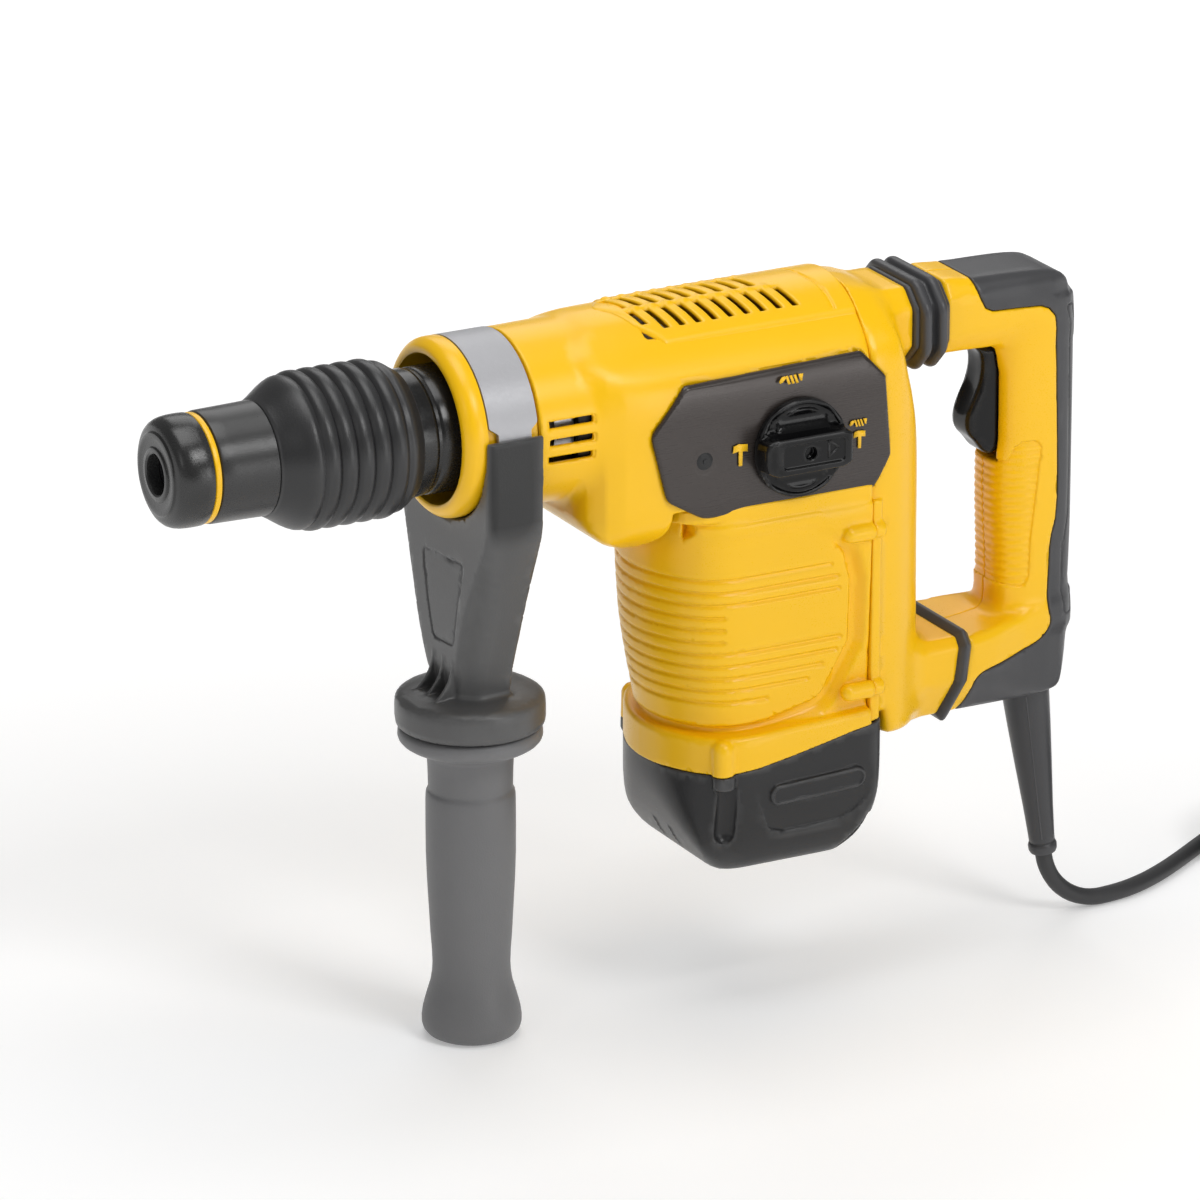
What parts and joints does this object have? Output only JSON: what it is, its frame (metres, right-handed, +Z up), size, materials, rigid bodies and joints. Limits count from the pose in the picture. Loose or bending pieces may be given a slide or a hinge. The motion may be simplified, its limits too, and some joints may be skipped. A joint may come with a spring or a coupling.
{
  "type": "demolition hammer",
  "caption": "Corded rotary demolition hammer: sliding-sleeve chuck, swivelling side handle, mode knob, vertical motor, sprung D handle with trigger, and a coiled mains lead.",
  "frame": {"origin": "bottom centre of the hammer without its cord, on the surface it stands on with its side handle pointing down", "axes": "+Z up; -X towards the chuck, +X towards the rear handle; -Y is the side with the mode selector"},
  "size_m": [0.763, 0.1432, 0.3465],
  "materials": {
    "housing_yellow": "satin moulded",
    "case_black": "fine texture",
    "rubber_black": "fine texture",
    "grip_grey": "fine texture",
    "bracket_grey": "glass-filled",
    "chuck_black": "polished",
    "plate_gunmetal": "brushed",
    "band_steel": "brushed",
    "steel": "ground",
    "copper": "enamelled wire",
    "brass": "plain",
    "band_yellow": "satin",
    "cord_black": "smooth jacket"
  },
  "bodies": {
    "root": {"collar_ring": "housing_yellow", "barrel_housing": "housing_yellow", "vent_cover": "housing_yellow", "rear_housing": "housing_yellow", "motor_housing": "housing_yellow", "motor_end_cap": "case_black", "mode_plate": "plate_gunmetal", "plate_screw": "steel", "housing_screw_1": "steel", "housing_screw_2": "steel", "housing_screw_3": "steel", "housing_screw_4": "steel", "bellows": "rubber_black", "lower_seal": "rubber_black", "stator": "steel", "field_windings": "copper", "bearing_lower": "steel", "brush_left": "brass", "brush_right": "brass", "spindle_bearing_front": "steel", "gear_case": "steel", "cord_tube": "cord_black", "cord_coil": "cord_black", "cord_tail": "cord_black", "plug": "case_black"},
    "spindle": {"nose_cap": "chuck_black", "nose_band": "band_yellow", "chuck_front_sleeve": "bracket_grey", "chuck_neck": "chuck_black", "spindle": "steel", "spindle_bevel_gear": "steel"},
    "lock_sleeve": {"lock_sleeve": "rubber_black"},
    "ram": {"ram": "steel"},
    "impact_bolt": {"impact_bolt": "steel"},
    "piston": {"piston": "steel"},
    "connecting_rod": {"connecting_rod": "steel"},
    "side_handle": {"clamp_band": "band_steel", "handle_bracket": "bracket_grey", "clamp_bolt": "steel"},
    "side_grip": {"side_grip": "grip_grey"},
    "mode_selector": {"mode_knob": "chuck_black"},
    "rear_handle": {"handle_overmold": "rubber_black", "handle_shell_left": "housing_yellow", "handle_shell_right": "housing_yellow", "switch_body": "case_black", "strain_relief": "rubber_black"},
    "trigger": {"trigger": "case_black"},
    "armature": {"armature": "steel", "cooling_fan": "case_black"},
    "crank": {"crank_gear": "steel"},
    "bevel_shaft": {"bevel_shaft": "steel"}
  },
  "joints": [
    {"name": "armature_spin", "type": "hinge", "parent": "root", "child": "armature", "pos_m": [0.0546, 0.00505, 0.176], "axis": [0, 0, 1], "continuous": true},
    {"name": "crank_turn", "type": "hinge", "parent": "root", "child": "crank", "pos_m": [0.0926, 0.00505, 0.25], "axis": [0, 0, 1], "continuous": true},
    {"name": "bevel_shaft_turn", "type": "hinge", "parent": "root", "child": "bevel_shaft", "pos_m": [0.0302, 0.00505, 0.25], "axis": [0, 0, 1], "continuous": true},
    {"name": "spindle_spin", "type": "hinge", "parent": "root", "child": "spindle", "pos_m": [-0.0974, 0.00505, 0.3], "axis": [1, 0, 0], "continuous": true},
    {"name": "lock_sleeve_slide", "type": "slide", "parent": "spindle", "child": "lock_sleeve", "axis": [1, 0, 0], "range_m": [0, 0.008], "stiffness_N_per_m": 1500, "springref_m": -0.004},
    {"name": "ram_slide", "type": "slide", "parent": "spindle", "child": "ram", "axis": [1, 0, 0], "range_m": [-0.034, 0.012]},
    {"name": "impact_bolt_slide", "type": "slide", "parent": "spindle", "child": "impact_bolt", "axis": [1, 0, 0], "range_m": [0, 0.007]},
    {"name": "piston_slide", "type": "slide", "parent": "root", "child": "piston", "axis": [1, 0, 0], "range_m": [0, 0.025]},
    {"name": "connecting_rod_swing", "type": "hinge", "parent": "piston", "child": "connecting_rod", "pos_m": [0.0381, 0.00505, 0.3], "axis": [0, 0, 1], "range_deg": [-17, 17]},
    {"name": "side_handle_swivel", "type": "hinge", "parent": "root", "child": "side_handle", "pos_m": [-0.0802, 0.00505, 0.3], "axis": [1, 0, 0], "continuous": true},
    {"name": "side_grip_twist", "type": "hinge", "parent": "side_handle", "child": "side_grip", "pos_m": [-0.0802, 0.00505, 0.08], "axis": [0, 0, 1], "range_deg": [0, 360]},
    {"name": "mode_knob_turn", "type": "hinge", "parent": "root", "child": "mode_selector", "pos_m": [0.0652, -0.04455, 0.2796], "axis": [0, -1, 0], "range_deg": [0, 180]},
    {"name": "rear_handle_flex", "type": "hinge", "parent": "root", "child": "rear_handle", "pos_m": [0.1656, 0.00505, 0.14], "axis": [0, -1, 0], "range_deg": [0, 1.8], "stiffness_Nm_per_rad": 400, "springref_deg": -1.15, "deforming": ["bellows", "lower_seal"]},
    {"name": "trigger_pull", "type": "hinge", "parent": "rear_handle", "child": "trigger", "pos_m": [0.1946, 0.00505, 0.292], "axis": [0, -1, 0], "range_deg": [0, 8], "stiffness_Nm_per_rad": 1, "springref_deg": -5.73}
  ],
  "couplings": [
    {"joint": "crank_turn", "follows": "armature_spin", "ratio": -0.2065},
    {"joint": "bevel_shaft_turn", "follows": "armature_spin", "ratio": -0.3636},
    {"joint": "spindle_spin", "follows": "armature_spin", "ratio": 0.1091}
  ]
}
